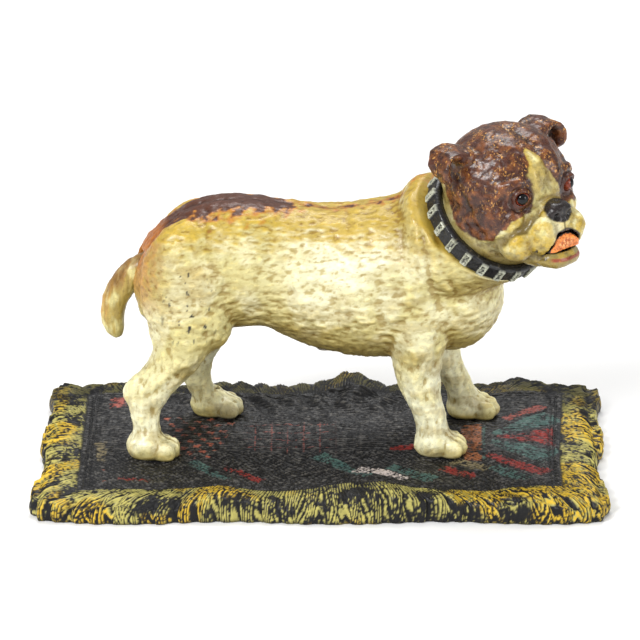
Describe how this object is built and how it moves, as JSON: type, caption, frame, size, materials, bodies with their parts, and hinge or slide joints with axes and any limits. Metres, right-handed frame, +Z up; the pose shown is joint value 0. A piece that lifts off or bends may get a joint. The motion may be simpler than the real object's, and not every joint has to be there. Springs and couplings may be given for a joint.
{
  "type": "figural animal coin bank",
  "caption": "Painted cast bulldog standing on a folded fringed rug, with a coin tongue in its mouth, a tail lever that works it and a trap under the belly.",
  "frame": {"origin": "on the ground under the middle of the rug", "axes": "+X towards the dog's head end, +Y to the dog's left, +Z up"},
  "size_m": [0.2158, 0.1256, 0.1393],
  "materials": {
    "painted_coat": "cream and ochre enamel over cast iron, worn and rubbed, with brown shading on the rump",
    "painted_head": "chocolate brown enamel with a cream blaze and ochre muzzle over cast iron",
    "painted_collar": "black enamel with rubbed pewter coloured bars",
    "painted_tongue": "orange enamel with a dark edge",
    "painted_rug": "charcoal enamel with a painted carpet pattern in red, teal and cream, and yellow washed fringe",
    "black_iron": "black japanned iron",
    "eye_glass": "dark amber glass with a black pupil",
    "steel": "plain turned steel",
    "spring_steel": "drawn steel wire"
  },
  "bodies": {
    "bank": {"rug_base": "painted_rug", "right_body_half": "painted_coat", "left_body_half": "painted_coat", "head_shell": "painted_head", "collar": "painted_collar", "right_eye": "eye_glass", "left_eye": "eye_glass", "tongue_pin": "steel", "tail_pin": "steel", "return_spring": "spring_steel", "body_screw_front": "steel", "body_screw_rear": "steel", "paw_screw_1": "steel", "paw_screw_2": "steel", "paw_screw_3": "steel", "paw_screw_4": "steel", "trap_screw": "steel"},
    "tail": {"tail_lever": "painted_coat"},
    "rod": {"push_rod": "steel"},
    "tongue_plate": {"tongue": "painted_tongue"},
    "trap": {"trap_cover": "black_iron"}
  },
  "joints": [
    {"name": "tail_hinge", "type": "hinge", "parent": "bank", "child": "tail", "pos_m": [-0.0635, 0.004, 0.081], "axis": [0, 1, 0], "range_deg": [0, 30], "stiffness_Nm_per_rad": 0.03, "springref_deg": -14.32, "deforming": ["return_spring"]},
    {"name": "rod_slide", "type": "slide", "parent": "bank", "child": "rod", "axis": [1, 0, 0], "range_m": [0, 0.0037]},
    {"name": "tongue_hinge", "type": "hinge", "parent": "bank", "child": "tongue_plate", "pos_m": [0.0893, -0.0266, 0.1], "axis": [-0.7071, -0.7071, 0], "range_deg": [0, 31]},
    {"name": "trap_swivel", "type": "hinge", "parent": "bank", "child": "trap", "pos_m": [0.002, 0.0065, 0.046], "axis": [0, 0, 1], "range_deg": [0, 110]}
  ],
  "couplings": [
    {"joint": "rod_slide", "follows": "tail_hinge", "m_per_rad": 0.0069},
    {"joint": "tongue_hinge", "follows": "tail_hinge", "ratio": 1}
  ]
}
